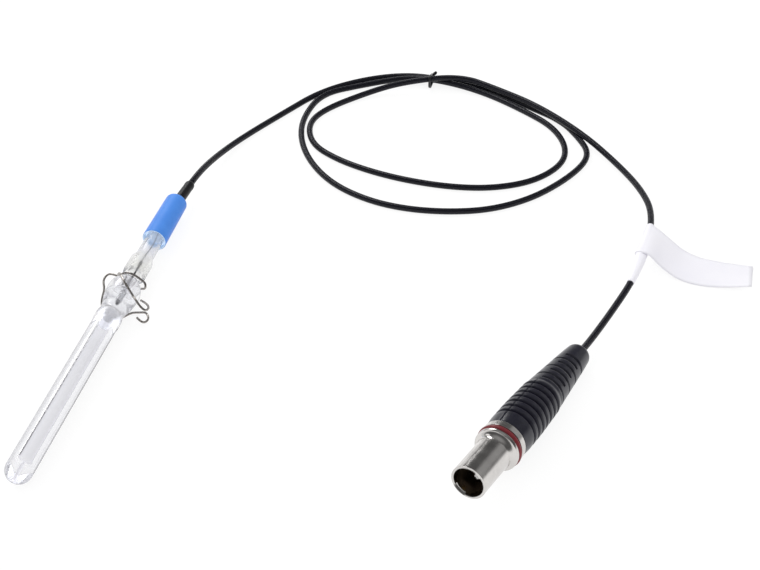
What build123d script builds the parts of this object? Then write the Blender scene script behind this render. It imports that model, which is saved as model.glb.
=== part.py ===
from build123d import *
from math import atan, cos, degrees, isclose, radians, sin, tan
import os

# A laboratory electrode: a glass stem held in a glass bridge vessel by a wire clip, with a blue cap,
# a cable in two loops and a coaxial plug. Millimetres. The glass lies along Y with its tip at -Y,
# +Z is up, and the origin is on the axis of the shaft where the shaft meets its collar.

os.makedirs("parts", exist_ok=True)

# Bridge vessel, from the tip up
shaft_r = 6.0
shaft_length = 98.0
bore_r = 2.9
end_thickness = 8.0
collar_r = 6.25
collar_length = 7.0
waist_r = 5.65
waist_top_r = 6.0
waist_length = 5.0
ball_r = 7.9
ball_length = 18.5
ball_rise = 11.5
ball_wall = 1.6
mouth_wall = 0.9
cavity_rise = 6.0
bore_flare = 1.0
edge_run = 1.0
junction_r = 0.5

# Stem
neck_r = 4.1
neck_length = 4.5
neck_bore_r = 2.0
bulge_r = 5.55
bulge_length = 12.5
bulge_edge_r = 1.2
shoulder_length = 3.0
stem_r = 4.25
stem_wall = 1.0
stem_length = 13.4
stem_in_cap = 16.0
cone_length = 9.0
cone_taper = 0.1
cone_bottom = 2.0
joint_gap = 0.05

# Reference element, its wires and the liquid round it
capillary_r = 0.9
capillary_bore_r = 0.6
capillary_below_cone = 5.5
capillary_above_cone = 8.0
element_tip_length = 3.5
element_tip_end_r = 0.25
silver_r = 0.4
silver_in_capillary = 3.5
silver_above_capillary = 13.0
bead_r = 0.8
bead_length = 3.0
lead_r = 0.25
lead_bow = 1.2
bubble_y = 0.6
bubble_dome = 2.0

# Cap, seal and sleeve
cap_mouth_r = 5.95
cap_top_r = 5.5
cap_length = 34.4
cap_top_wall = 3.0
cap_edge_r = 1.6
cap_seat = 0.8
skirt_wall = 0.7
skirt_depth = 9.0
seal_length = 6.5
sleeve_root_r = 2.6
sleeve_end_r = 2.35
sleeve_length = 13.5
sleeve_spigot_r = 2.2

# Clip
clip_wire_r = 0.5

# Cable, tie and labels
cable_r = 1.5
cable_straight = 14.0
tie_x = 96.2
tie_y = 245.6
tie_turn = 15.7
tie_wire_r = 0.6
tie_half_width = 4.2
tie_height = 11.4
tie_corner_r = 2.0
tie_nub_r = 0.9
tie_nub_length = 3.6
label_film = 0.4
label_gap = 0.1
tag_share = 0.9287
tag_length = 22.0
tag_reach = 50.0
tag_shelf = 5.0
tag_fall = 22.0
tag_bend_r = 9.0
strip_share = 0.9458
strip_length = 20.0
strip_reach = 5.0

# Plug, from the rim back
shell_r = 7.8
shell_bore_r = 6.75
shell_length = 17.0
flare_length = 6.5
flange_r = 9.9
front_flange = 1.6
groove_width = 2.8
groove_r = 7.9
rear_flange = 3.1
spigot_r = 6.0
spigot_length = 8.0
core_bore_r = 4.0
key_width = 2.2
key_height = 1.5
key_length = 2.5
key_angle = 35
notch_width = 6.0
notch_depth = 1.4
notch_angle = 213
insulator_depth = 12.0
insulator_length = 5.0
insulator_boss_r = 3.2
insulator_boss_length = 3.0
pin_r = 1.0
pin_length = 4.5
pin_tail = 6.0
ring_section_r = 1.2
grip_front_r = 9.67
grip_r = 10.1
grip_back_r = 9.4
collar_band = 5.0
rib_count = 7
rib_first = 39.1
rib_pitch = 3.87
rib_groove_width = 1.6
rib_groove_depth = 1.0
ribs_end = 64.2
band_r = 8.7
band_start = 65.8
band_end = 67.4
tail_r = 6.2
tail_start = 96.3
tail_end_r = 4.2
plug_length = 103.8
slot_count = 7
slot_first = 68.5
slot_pitch = 3.7
slot_width = 1.1
slot_core_r = 4.3
slot_sweep = 248
slot_turn = 111
plug_turn = 17.4
plug_rim_x = 180.2
plug_rim_y = -61.1

# Stations along the electrode
tip_y = -shaft_length
bore_bottom_y = tip_y + end_thickness
collar_y = collar_length
waist_y = collar_y + waist_length
mouth_y = waist_y + ball_length
ball_y = waist_y + ball_rise
neck_y = mouth_y + neck_length
bulge_y = neck_y + bulge_length
shoulder_y = bulge_y + shoulder_length
cap_y = shoulder_y + stem_length
stem_top_y = cap_y + stem_in_cap
cap_top_y = cap_y + cap_length
sleeve_root_y = cap_top_y - cap_top_wall
sleeve_y = cap_top_y + sleeve_length
skirt_y = cap_y + skirt_depth
cone_y = mouth_y - cone_length
cone_top_y = cone_y + cone_bottom
cavity_y = waist_y + cavity_rise
bore_top_y = waist_y - bore_flare
capillary_y = cone_y - capillary_below_cone
capillary_top_y = cone_y + capillary_above_cone
element_end_y = capillary_y - element_tip_length
silver_y = capillary_top_y - silver_in_capillary
bead_y = capillary_top_y + silver_above_capillary
lead_y = bead_y + bead_length
lead_run = sleeve_root_y - lead_y
table_z = -ball_r

# Radii that follow from the fits
cone_end_r = neck_r - cone_taper * cone_length
socket_r = neck_r + joint_gap
socket_end_r = cone_end_r + joint_gap
mouth_r = socket_r + mouth_wall
cavity_r = ball_r - ball_wall
stem_bore_r = stem_r - stem_wall
stem_hole_r = stem_r + joint_gap
cap_cavity_r = stem_r - cap_seat
skirt_bore_r = cap_mouth_r - skirt_wall
liquid_r = cavity_r - joint_gap

# Stations and lie of the plug, which rests on its last rib and on its tail
flare_end = shell_length + flare_length
groove_start = flare_end + front_flange
groove_end = groove_start + groove_width
grip_start = groove_end + rear_flange
spigot_end = grip_start + spigot_length
insulator_back = insulator_depth + insulator_length
plug_tilt = degrees(atan((grip_back_r - tail_r) / (tail_start - ribs_end)))
plug_rim_z = table_z + ribs_end * sin(radians(plug_tilt)) + grip_back_r * cos(radians(plug_tilt))
plug_rim = Vector(plug_rim_x, plug_rim_y, plug_rim_z)
plug_dir = Vector(0, 1, 0).rotate(Axis.X, -plug_tilt).rotate(Axis.Z, -plug_turn)
plug_side = Plane(origin=plug_rim, x_dir=plug_dir, z_dir=Vector(1, 0, 0).rotate(Axis.Z, -plug_turn))
plug_axis = Axis(plug_rim, plug_dir)


def around(reach, angle, y):
    """Point at a reach from the electrode's axis, its angle counted from +Z towards +X."""
    return Vector(reach * sin(radians(angle)), y, reach * cos(radians(angle)))


def plug_plane(angle):
    """Plane through the plug's axis, its y at an angle from upwards towards +X."""
    return Plane(origin=plug_rim, x_dir=plug_dir, z_dir=plug_side.z_dir.rotate(plug_axis, angle))


def bend_radii(points):
    """Radius of each bend of a route: 0.45 of the shorter run over the tangent of half the turn."""
    radii = []
    for before, corner, after in zip(points, points[1:], points[2:]):
        turn = radians((corner - before).get_angle(after - corner))
        shorter = min((corner - before).length, (after - corner).length)
        radii.append(0.45 * shorter / tan(turn / 2))
    return radii


# Bridge vessel: blown glass, solid domed end, ball with a ground socket for the cone of the stem
with BuildPart() as bridge_vessel:
    with BuildSketch(Plane.XY):
        with BuildLine():
            CenterArc((0, tip_y + shaft_r), shaft_r, -90, 90)
            Polyline(
                (shaft_r, tip_y + shaft_r),
                (shaft_r, 0),
                (collar_r, edge_run),
                (collar_r, collar_y - edge_run),
                (waist_r, collar_y + edge_run),
                (waist_top_r, waist_y),
            )
            TangentArc((ball_r, ball_y), (waist_top_r, waist_y), tangent=(0, -1))
            TangentArc((ball_r, ball_y), (mouth_r, mouth_y), tangent=(0, 1))
            Polyline(
                (mouth_r, mouth_y),
                (socket_r, mouth_y),
                (socket_end_r, cone_y),
                (cavity_r, cone_y - edge_run),
                (cavity_r, cavity_y),
                (bore_r, bore_top_y),
                (bore_r, bore_bottom_y + bore_r),
            )
            CenterArc((0, bore_bottom_y + bore_r), bore_r, 0, -90)
            Line((0, bore_bottom_y), (0, tip_y))
        make_face()
    revolve(axis=Axis.Y)
    with BuildSketch(Plane.XZ.offset(-bore_bottom_y)):
        Circle(junction_r)
    extrude(amount=end_thickness, mode=Mode.SUBTRACT)
bridge_vessel.part.label = "bridge_vessel"
export_step(bridge_vessel.part, "parts/bridge_vessel.step")

# Bridge junction: porous ceramic pin sealed through the domed end
with BuildPart() as bridge_junction:
    with BuildSketch(Plane.XZ.offset(-bore_bottom_y)):
        Circle(junction_r)
    extrude(amount=end_thickness)
bridge_junction.part.label = "bridge_junction"
export_step(bridge_junction.part, "parts/bridge_junction.step")

# Stem: blown glass tube with a frosted bulge, a neck and a ground cone closed at its bottom
with BuildPart() as stem_glass:
    with BuildSketch(Plane.XY) as stem_section:
        with BuildLine():
            Polyline(
                (capillary_r + joint_gap, cone_y),
                (cone_end_r, cone_y),
                (neck_r, mouth_y),
                (neck_r, neck_y),
                (bulge_r, neck_y + edge_run),
                (bulge_r, bulge_y),
                (stem_r, shoulder_y),
                (stem_r, stem_top_y),
                (stem_bore_r, stem_top_y),
                (stem_bore_r, neck_y + edge_run),
                (neck_bore_r, neck_y - edge_run),
                (neck_bore_r, cone_top_y),
                (capillary_r + joint_gap, cone_top_y),
                close=True,
            )
        make_face()
        fillet(stem_section.vertices().filter_by(lambda v: isclose(v.X, bulge_r)), bulge_edge_r)
    revolve(axis=Axis.Y)
stem_glass.part.label = "stem_glass"
export_step(stem_glass.part, "parts/stem_glass.step")

# Element cartridge: thin glass capillary sealed through the bottom of the cone
with BuildPart() as element_cartridge:
    with BuildSketch(Plane.XZ.offset(-capillary_top_y)):
        Circle(capillary_r)
        Circle(capillary_bore_r, mode=Mode.SUBTRACT)
    extrude(amount=capillary_top_y - capillary_y)
element_cartridge.part.label = "element_cartridge"
export_step(element_cartridge.part, "parts/element_cartridge.step")

# Element tip: dark porous cone closing the capillary
with BuildPart() as element_tip:
    with BuildSketch(Plane.XY):
        Polygon(
            (0, element_end_y),
            (element_tip_end_r, element_end_y),
            (capillary_r, capillary_y),
            (0, capillary_y),
            align=None,
        )
    revolve(axis=Axis.Y)
element_tip.part.label = "element_tip"
export_step(element_tip.part, "parts/element_tip.step")

# Silver wire: dark coated wire from the top of the capillary up into the stem
with BuildPart() as silver_wire:
    with BuildSketch(Plane.XZ.offset(-bead_y)):
        Circle(silver_r)
    extrude(amount=bead_y - silver_y)
silver_wire.part.label = "silver_wire"
export_step(silver_wire.part, "parts/silver_wire.step")

# Wire bead: solder joint between the silver wire and the lead
with BuildPart() as wire_bead:
    with BuildSketch(Plane.XZ.offset(-lead_y)):
        Circle(bead_r)
    extrude(amount=bead_length)
    fillet(wire_bead.edges(), bead_r / 3)
wire_bead.part.label = "wire_bead"
export_step(wire_bead.part, "parts/wire_bead.step")

# Lead wire: thin wire, a little bowed, from the bead to the foot of the sleeve
lead_points = [
    Vector(0, lead_y, 0),
    Vector(0, lead_y + 0.08 * lead_run, 0),
    Vector(lead_bow, lead_y + 0.28 * lead_run, lead_bow / 2),
    Vector(-lead_bow / 2, lead_y + 0.6 * lead_run, 0),
    Vector(0, lead_y + 0.88 * lead_run, 0),
    Vector(0, sleeve_root_y, 0),
]
with BuildPart() as lead_wire:
    with BuildLine():
        lead_path = FilletPolyline(*lead_points, radius=bend_radii(lead_points))
    with BuildSketch(Plane(origin=lead_path @ 0, z_dir=lead_path % 0)):
        Circle(lead_r)
    sweep(path=lead_path)
lead_wire.part.label = "lead_wire"
export_step(lead_wire.part, "parts/lead_wire.step")

# Bridge electrolyte: liquid in the waist and ball, domed where the air in the shaft starts
with BuildPart() as bridge_electrolyte:
    with BuildSketch(Plane.XY):
        with BuildLine():
            ThreePointArc(
                (0, bubble_y),
                (bore_r * 0.62, bubble_y - bubble_dome * 0.32),
                (bore_r - joint_gap, bubble_y - bubble_dome),
            )
            Polyline(
                (bore_r - joint_gap, bubble_y - bubble_dome),
                (bore_r - joint_gap, bore_top_y),
                (liquid_r, cavity_y),
                (liquid_r, cone_y - edge_run - joint_gap),
                (cone_end_r, cone_y - 2 * joint_gap),
                (capillary_r + joint_gap, cone_y - 2 * joint_gap),
                (capillary_r + joint_gap, capillary_y),
                (element_tip_end_r + joint_gap, element_end_y - joint_gap),
                (0, element_end_y - joint_gap),
                (0, bubble_y),
            )
        make_face()
    revolve(axis=Axis.Y)
bridge_electrolyte.part.label = "bridge_electrolyte"
export_step(bridge_electrolyte.part, "parts/bridge_electrolyte.step")

# Head cap: moulded blue cap, its skirt standing clear of the stem, the stem seated inside it
with BuildPart() as head_cap:
    with BuildSketch(Plane.XY) as cap_section:
        with BuildLine():
            Polyline(
                (skirt_bore_r, cap_y),
                (cap_mouth_r, cap_y),
                (cap_top_r, cap_top_y),
                (sleeve_spigot_r, cap_top_y),
                (sleeve_spigot_r, sleeve_root_y),
                (cap_cavity_r, sleeve_root_y),
                (cap_cavity_r, stem_top_y),
                (stem_hole_r, stem_top_y),
                (stem_hole_r, skirt_y),
                (skirt_bore_r, skirt_y),
                close=True,
            )
        make_face()
        fillet(cap_section.vertices().filter_by(lambda v: isclose(v.X, cap_top_r)), cap_edge_r)
    revolve(axis=Axis.Y)
head_cap.part.label = "head_cap"
export_step(head_cap.part, "parts/head_cap.step")

# Head seal: pale ring at the bottom of the skirt, round the stem
with BuildPart() as head_seal:
    with BuildSketch(Plane.XZ.offset(-skirt_y)):
        Circle(skirt_bore_r)
        Circle(stem_hole_r, mode=Mode.SUBTRACT)
    extrude(amount=seal_length)
head_seal.part.label = "head_seal"
export_step(head_seal.part, "parts/head_seal.step")

# Bend sleeve: black sleeve plugged into the top of the cap, where the cable leaves
with BuildPart() as bend_sleeve:
    with BuildSketch(Plane.XY):
        Polygon(
            (0, sleeve_root_y),
            (sleeve_spigot_r, sleeve_root_y),
            (sleeve_spigot_r, cap_top_y),
            (sleeve_root_r, cap_top_y),
            (sleeve_end_r, sleeve_y),
            (0, sleeve_y),
            align=None,
        )
    revolve(axis=Axis.Y)
bend_sleeve.part.label = "bend_sleeve"
export_step(bend_sleeve.part, "parts/bend_sleeve.step")

# Joint clip: one sprung steel wire, from a hook beside the ball, under the waist, up beside the ball,
# round the neck and back over the ball to a second hook. Each stop is a reach from the axis, an angle
# from +Z towards +X and a place along the axis from the ball's widest ring, in radii of the ball.
clip_stops = [
    (1.42, 109, -1.43),
    (1.89, 106, -1.80),
    (2.11, 106, -1.30),
    (1.76, 112, -0.64),
    (1.40, 125, -0.61),
    (1.09, 146, -0.64),
    (0.89, 175, -1.56),
    (0.98, -136, -1.46),
    (1.16, -112, -0.90),
    (1.15, -98, -0.52),
    (1.15, -87, -0.08),
    (1.52, -84, 0.61),
    (1.41, -80, 1.17),
    (0.89, -72, 1.07),
    (0.69, -66, 1.01),
    (0.68, -31, 1.05),
    (0.67, 2, 1.04),
    (0.70, 33, 1.01),
    (0.88, 63, 0.92),
    (1.09, 79, 0.87),
    (1.11, 93, 0.67),
    (0.74, 119, 0.96),
    (0.71, 155, 1.20),
    (0.75, -145, 1.23),
    (0.82, -99, 1.19),
    (0.81, -58, 0.99),
    (1.11, -17, 0.52),
    (1.16, 13, -0.26),
    (1.11, 31, -0.52),
    (1.08, 54, -0.71),
    (1.48, 65, -1.21),
    (1.74, 74, -1.48),
    (2.07, 80, -1.63),
    (2.06, 85, -1.11),
    (1.65, 89, -0.61),
    (1.20, 96, -0.29),
]
clip_points = [around(ball_r * reach, angle, ball_y + ball_r * rise) for reach, angle, rise in clip_stops]
with BuildPart() as joint_clip:
    with BuildLine():
        clip_path = FilletPolyline(*clip_points, radius=bend_radii(clip_points))
    with BuildSketch(Plane(origin=clip_path @ 0, z_dir=clip_path % 0)):
        Circle(clip_wire_r)
    sweep(path=clip_path)
joint_clip.part.label = "joint_clip"
export_step(joint_clip.part, "parts/joint_clip.step")

# Cable: from the sleeve through two loops, over both other strands at the tie, and to the plug.
# Each stop is x, y and the height of the cable's middle above the table.
cable_stops = [
    (4.4, 148.5, 3.6),
    (12.7, 170.5, 1.5),
    (24.8, 193.5, 1.5),
    (41.8, 213.5, 1.5),
    (62.8, 231.5, 1.5),
    (84.8, 244.2, 3.0),
    (105.9, 250.2, 3.0),
    (127.8, 247.5, 1.5),
    (150.8, 236.5, 1.5),
    (171.8, 221.5, 1.5),
    (185.8, 208, 1.5),
    (191.8, 197, 1.5),
    (190.8, 184.5, 1.5),
    (182.8, 165.5, 1.5),
    (168.8, 148.5, 1.5),
    (150.8, 135.5, 1.5),
    (130.8, 128.5, 1.5),
    (109.8, 126.5, 1.5),
    (89.8, 128.5, 1.5),
    (69.8, 137.5, 1.5),
    (53.8, 152.5, 1.5),
    (42.8, 171.5, 1.5),
    (37.8, 191.5, 1.5),
    (43.8, 210.5, 1.5),
    (60.8, 224.5, 1.5),
    (85.7, 240.8, 3.0),
    (106.8, 246.7, 3.0),
    (129.8, 241, 1.5),
    (152.8, 229, 1.5),
    (169.8, 216, 1.5),
    (179.8, 199.5, 1.5),
    (178.8, 183.5, 1.5),
    (166.8, 167.5, 1.5),
    (149.8, 155.5, 1.5),
    (129.8, 149.5, 1.5),
    (106.8, 149.5, 1.5),
    (85.8, 153, 1.5),
    (65.8, 159, 1.5),
    (50.8, 170.5, 1.5),
    (44.3, 185.5, 1.5),
    (48.8, 200.5, 1.5),
    (66.8, 221, 1.5),
    (81.8, 235, 9.0),
    (110.8, 255.5, 9.0),
    (135.8, 249, 1.5),
    (159.8, 235.5, 1.5),
    (188.8, 213.5, 1.5),
    (208.8, 190.5, 2.5),
    (222.8, 167.5, 5.0),
    (230.3, 145.5, 7.0),
    (230.8, 115.5, 7.0),
    (227.8, 90.5, 6.5),
    (222.8, 69.5, 5.0),
]
cable_points = [Vector(0, sleeve_y, 0), Vector(0, sleeve_y + cable_straight, 0)]
cable_points += [Vector(x, y, table_z + lift) for x, y, lift in cable_stops]
cable_points += [plug_rim + plug_dir * (plug_length + 12), plug_rim + plug_dir * plug_length]
with BuildPart() as cable:
    with BuildLine():
        cable_path = FilletPolyline(*cable_points, radius=bend_radii(cable_points))
    with BuildSketch(Plane(origin=cable_path @ 0, z_dir=cable_path % 0)):
        Circle(cable_r)
    sweep(path=cable_path)
cable.part.label = "cable"
export_step(cable.part, "parts/cable.step")
cable_length = cable_path.length
print("cable bend radii", [round(r, 1) for r in bend_radii(cable_points)])
print("cable length", round(cable_length, 1), "mm")

# Cable tie: a plastic covered wire bent round the three strands, its ends twisted to a nub on top
tie_dir = Vector(1, 0, 0).rotate(Axis.Z, tie_turn)
tie_plane = Plane(origin=(tie_x, tie_y, table_z), x_dir=Vector(0, 0, 1).cross(tie_dir), z_dir=tie_dir)
with BuildPart() as cable_tie:
    with BuildLine(tie_plane):
        tie_path = FilletPolyline(
            (tie_half_width, tie_wire_r),
            (tie_half_width, tie_height),
            (-tie_half_width, tie_height),
            (-tie_half_width, tie_wire_r),
            radius=tie_corner_r,
            close=True,
        )
    with BuildSketch(Plane(origin=tie_path @ 0, z_dir=tie_path % 0)):
        Circle(tie_wire_r)
    sweep(path=tie_path)
    with BuildSketch(Plane(origin=tie_plane.from_local_coords((0, tie_height, 0)))):
        Circle(tie_nub_r)
    extrude(amount=tie_nub_length)
cable_tie.part.label = "cable_tie"
export_step(cable_tie.part, "parts/cable_tie.step")

# Cable tag: film wrapped once round the cable and stuck to itself as a flag that droops to the table
tag_spot = cable_path @ tag_share
tag_dir = cable_path % tag_share
tag_half = tag_length / 2 / cable_length
tag_run = cable_path.trim(tag_share - tag_half, tag_share + tag_half)
tag_drop = tag_spot.Z - table_z - label_film / 2
with BuildPart() as cable_tag:
    with BuildSketch(Plane(origin=tag_run @ 0, z_dir=tag_run % 0)):
        Circle(cable_r + label_gap + label_film)
    sweep(path=tag_run)
    with BuildSketch(Plane(origin=tag_spot, x_dir=Vector(0, 0, 1).cross(tag_dir), z_dir=tag_dir)):
        with BuildLine():
            FilletPolyline(
                (cable_r, 0),
                (tag_shelf, 0),
                (tag_fall, -tag_drop),
                (tag_reach, -tag_drop),
                radius=tag_bend_r,
            )
        trace(line_width=label_film)
    extrude(amount=tag_length / 2, both=True)
    with BuildSketch(Plane(origin=tag_run @ 0, z_dir=tag_run % 0)):
        Circle(cable_r + label_gap)
    sweep(path=tag_run, mode=Mode.SUBTRACT)
cable_tag.part.label = "cable_tag"
export_step(cable_tag.part, "parts/cable_tag.step")

# Tag strip: narrow strip of film wrapped round the cable beside the tag, its ends stuck together
strip_spot = cable_path @ strip_share
strip_dir = cable_path % strip_share
strip_half = strip_length / 2 / cable_length
strip_run = cable_path.trim(strip_share - strip_half, strip_share + strip_half)
with BuildPart() as tag_strip:
    with BuildSketch(Plane(origin=strip_run @ 0, z_dir=strip_run % 0)):
        Circle(cable_r + label_gap + label_film)
    sweep(path=strip_run)
    with BuildSketch(Plane(origin=strip_spot, x_dir=Vector(0, 0, 1).cross(strip_dir), z_dir=strip_dir)):
        Rectangle(strip_reach, label_film, align=(Align.MIN, Align.CENTER))
    extrude(amount=strip_length / 2, both=True)
    with BuildSketch(Plane(origin=strip_run @ 0, z_dir=strip_run % 0)):
        Circle(cable_r + label_gap)
    sweep(path=strip_run, mode=Mode.SUBTRACT)
tag_strip.part.label = "tag_strip"
export_step(tag_strip.part, "parts/tag_strip.step")

# Plug shell: turned and plated brass, a hollow front with key and notch, two flanges round a groove
# for the ring, and a spigot that the grip is moulded on
with BuildPart() as plug_shell:
    with BuildSketch(plug_side):
        with BuildLine():
            Polyline(
                (flare_end, flange_r),
                (groove_start, flange_r),
                (groove_start, groove_r),
                (groove_end, groove_r),
                (groove_end, flange_r),
                (grip_start, flange_r),
                (grip_start, spigot_r),
                (spigot_end, spigot_r),
                (spigot_end, core_bore_r),
                (insulator_back, core_bore_r),
                (insulator_back, shell_bore_r),
                (0, shell_bore_r),
                (0, shell_r),
                (shell_length, shell_r),
            )
            TangentArc((shell_length, shell_r), (flare_end, flange_r), tangent=(1, 0))
        make_face()
    revolve(axis=plug_axis)
    with BuildSketch(plug_plane(key_angle).offset(-key_width / 2)):
        with Locations((0, shell_bore_r + joint_gap)):
            Rectangle(key_length, key_height, align=(Align.MIN, Align.MAX))
    extrude(amount=key_width)
    with BuildSketch(plug_plane(notch_angle).offset(-notch_width / 2)):
        with Locations((0, shell_r / 2)):
            Rectangle(notch_depth, shell_r, align=(Align.MIN, Align.MIN))
    extrude(amount=notch_width, mode=Mode.SUBTRACT)
plug_shell.part.label = "plug_shell"
export_step(plug_shell.part, "parts/plug_shell.step")

# Plug insulator: white disc with a boss, pressed into the shell behind its hollow front
with BuildPart() as plug_insulator:
    with BuildSketch(plug_side):
        with BuildLine():
            Polyline(
                (insulator_depth - insulator_boss_length, pin_r),
                (insulator_depth - insulator_boss_length, insulator_boss_r),
                (insulator_depth, insulator_boss_r),
                (insulator_depth, shell_bore_r),
                (insulator_back, shell_bore_r),
                (insulator_back, pin_r),
                close=True,
            )
        make_face()
    revolve(axis=plug_axis)
plug_insulator.part.label = "plug_insulator"
export_step(plug_insulator.part, "parts/plug_insulator.step")

# Plug pin: recessed centre contact with a rounded tip, held by the insulator
with BuildPart() as plug_pin:
    with BuildSketch(plug_side):
        with BuildLine():
            CenterArc((insulator_depth - pin_length + pin_r, 0), pin_r, 90, 90)
            Polyline(
                (insulator_depth - pin_length + pin_r, pin_r),
                (insulator_back + pin_tail, pin_r),
                (insulator_back + pin_tail, 0),
                (insulator_depth - pin_length, 0),
            )
        make_face()
    revolve(axis=plug_axis)
plug_pin.part.label = "plug_pin"
export_step(plug_pin.part, "parts/plug_pin.step")

# Plug ring: red rubber ring in the groove between the flanges
with BuildPart() as plug_ring:
    with BuildSketch(plug_side):
        with Locations(((groove_start + groove_end) / 2, groove_r + ring_section_r)):
            Circle(ring_section_r)
    revolve(axis=plug_axis)
plug_ring.part.label = "plug_ring"
export_step(plug_ring.part, "parts/plug_ring.step")

# Plug grip: black moulded rubber with a smooth collar, ring ribs, a plain band and a tapered tail
# cut by slots from both sides in turn so that it bends with the cable
with BuildPart() as plug_grip:
    with BuildSketch(plug_side) as grip_section:
        with BuildLine():
            Polyline(
                (grip_start, spigot_r),
                (grip_start, grip_front_r),
                (grip_start + collar_band, grip_r),
                ((grip_start + ribs_end) / 2, grip_r),
                (ribs_end, grip_back_r),
                (band_start, band_r),
                (band_end, band_r),
                (tail_start, tail_r),
                (plug_length, tail_end_r),
                (plug_length, 0),
                (spigot_end, 0),
                (spigot_end, spigot_r),
                close=True,
            )
        make_face()
    revolve(axis=plug_axis)
    with BuildSketch(plug_side):
        with Locations([(rib_first + rib * rib_pitch, grip_r) for rib in range(rib_count)]):
            Rectangle(rib_groove_width, 2 * rib_groove_depth)
    revolve(axis=plug_axis, mode=Mode.SUBTRACT)
    for slot in range(slot_count):
        with BuildSketch(plug_plane(slot_turn - slot_sweep / 2 + 180 * (slot % 2))):
            with Locations((slot_first + slot * slot_pitch, slot_core_r)):
                Rectangle(slot_width, grip_r, align=(Align.CENTER, Align.MIN))
        revolve(axis=plug_axis, revolution_arc=slot_sweep, mode=Mode.SUBTRACT)
plug_grip.part.label = "plug_grip"
export_step(plug_grip.part, "parts/plug_grip.step")
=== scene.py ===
import bmesh
import bpy
import numpy as np
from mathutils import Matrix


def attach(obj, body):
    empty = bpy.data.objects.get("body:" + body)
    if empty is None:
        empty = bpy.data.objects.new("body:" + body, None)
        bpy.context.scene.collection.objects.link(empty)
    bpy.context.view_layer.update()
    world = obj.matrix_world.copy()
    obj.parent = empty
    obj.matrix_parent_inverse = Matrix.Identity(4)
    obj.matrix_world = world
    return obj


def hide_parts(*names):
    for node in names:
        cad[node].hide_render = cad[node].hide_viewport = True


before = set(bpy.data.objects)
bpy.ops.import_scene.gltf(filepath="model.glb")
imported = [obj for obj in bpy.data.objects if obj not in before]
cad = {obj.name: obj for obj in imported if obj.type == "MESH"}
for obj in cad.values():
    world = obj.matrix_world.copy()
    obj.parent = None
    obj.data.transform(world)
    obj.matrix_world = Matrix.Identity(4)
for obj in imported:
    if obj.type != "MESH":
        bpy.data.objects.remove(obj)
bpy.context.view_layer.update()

# Bridge vessel: one piece of blown borosilicate glass. A thick-walled shaft with a solid domed end,
# a collar, a waist and a ball whose mouth is ground inside to take the cone of the stem.
# Stations run along the electrode's axis, which is +Y, in millimetres.


def soften(corners, reach, steps=7):
    """Polyline with each inner corner swapped for a quadratic Bezier curve that starts and ends at reach
    from the corner, or at 0.45 of the shorter side, with a guard point just outside each end."""
    p = np.asarray(corners, float)
    before, corner, after = p[:-2], p[1:-1], p[2:]
    reach = np.broadcast_to(np.asarray(reach, float), len(corner))
    back, ahead = before - corner, after - corner
    back_long, ahead_long = np.linalg.norm(back, axis=1), np.linalg.norm(ahead, axis=1)
    cut = np.minimum(reach, 0.45 * np.minimum(back_long, ahead_long))[:, None]
    back, ahead = back / back_long[:, None], ahead / ahead_long[:, None]
    t = np.linspace(0, 1, steps)[None, :, None]
    a, b = (corner + back * cut)[:, None], (corner + ahead * cut)[:, None]
    bend = (1 - t) ** 2 * a + 2 * t * (1 - t) * corner[:, None] + t ** 2 * b
    guard = 0.1 * cut[:, None]
    bend = np.concatenate([a + back[:, None] * guard, bend, b + ahead[:, None] * guard], 1)
    return np.concatenate([p[:1], bend.reshape(-1, 2), p[-1:]])


def dome(start, radius):
    """Quarter circle from the axis at start out to the radius, opening towards +s."""
    t = np.linspace(0, np.pi / 2, 25)
    return np.c_[start + radius * (1 - np.cos(t)), radius * np.sin(t)]


def sag(s, top_s, top_r, end_s, end_r):
    """Radius at s of a circle arc that is level at (top_s, top_r) and passes (end_s, end_r)."""
    drop = top_r - end_r
    big = ((end_s - top_s) ** 2 + drop ** 2) / (2 * drop)
    return top_r - np.sign(big) * (abs(big) - np.sqrt(big ** 2 - (s - top_s) ** 2))


def skin(name, grid, marks=None, wrap=True):
    """Mesh of quads over a grid of points (n, m, 3) in millimetres, joined round the second way where wrap
    is set. Rows that meet in a pole and a first and last row that coincide are merged. UV is the run along
    the grid's first way in centimetres and the share of the second. marks are values for each row or point."""
    n, m = grid.shape[:2]
    i, j = np.meshgrid(np.arange(n - 1), np.arange(m if wrap else m - 1), indexing="ij")
    i, j = i.ravel(), j.ravel()
    k = (j + 1) % m
    quads = np.c_[i * m + j, i * m + k, (i + 1) * m + k, (i + 1) * m + j]
    mesh = bpy.data.meshes.new(name)
    mesh.from_pydata((grid.reshape(-1, 3) / 1000).tolist(), [], quads.tolist())
    run = np.r_[0, np.cumsum(np.linalg.norm(np.diff(grid, axis=0), axis=2).max(1))] / 10
    share = np.arange(m + 1) / (m if wrap else m - 1)
    uv = np.stack([np.c_[run[i], run[i], run[i + 1], run[i + 1]],
                   np.c_[share[j], share[j + 1], share[j + 1], share[j]]], 2)
    mesh.uv_layers.new(name="UVMap").data.foreach_set("uv", uv.astype(np.float32).ravel())
    for mark, value in (marks or {}).items():
        layer = mesh.attributes.new(mark, "FLOAT", "POINT")
        value = np.asarray(value, float)
        value = value[:, None] if value.ndim == 1 else value
        layer.data.foreach_set("value", np.broadcast_to(value, (n, m)).astype(np.float32).ravel())
    work = bmesh.new()
    work.from_mesh(mesh)
    bmesh.ops.remove_doubles(work, verts=work.verts, dist=1e-7)
    work.to_mesh(mesh)
    work.free()
    mesh.polygons.foreach_set("use_smooth", np.ones(len(mesh.polygons), bool))
    piece = bpy.data.objects.new(name, mesh)
    bpy.context.scene.collection.objects.link(piece)
    return piece


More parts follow.
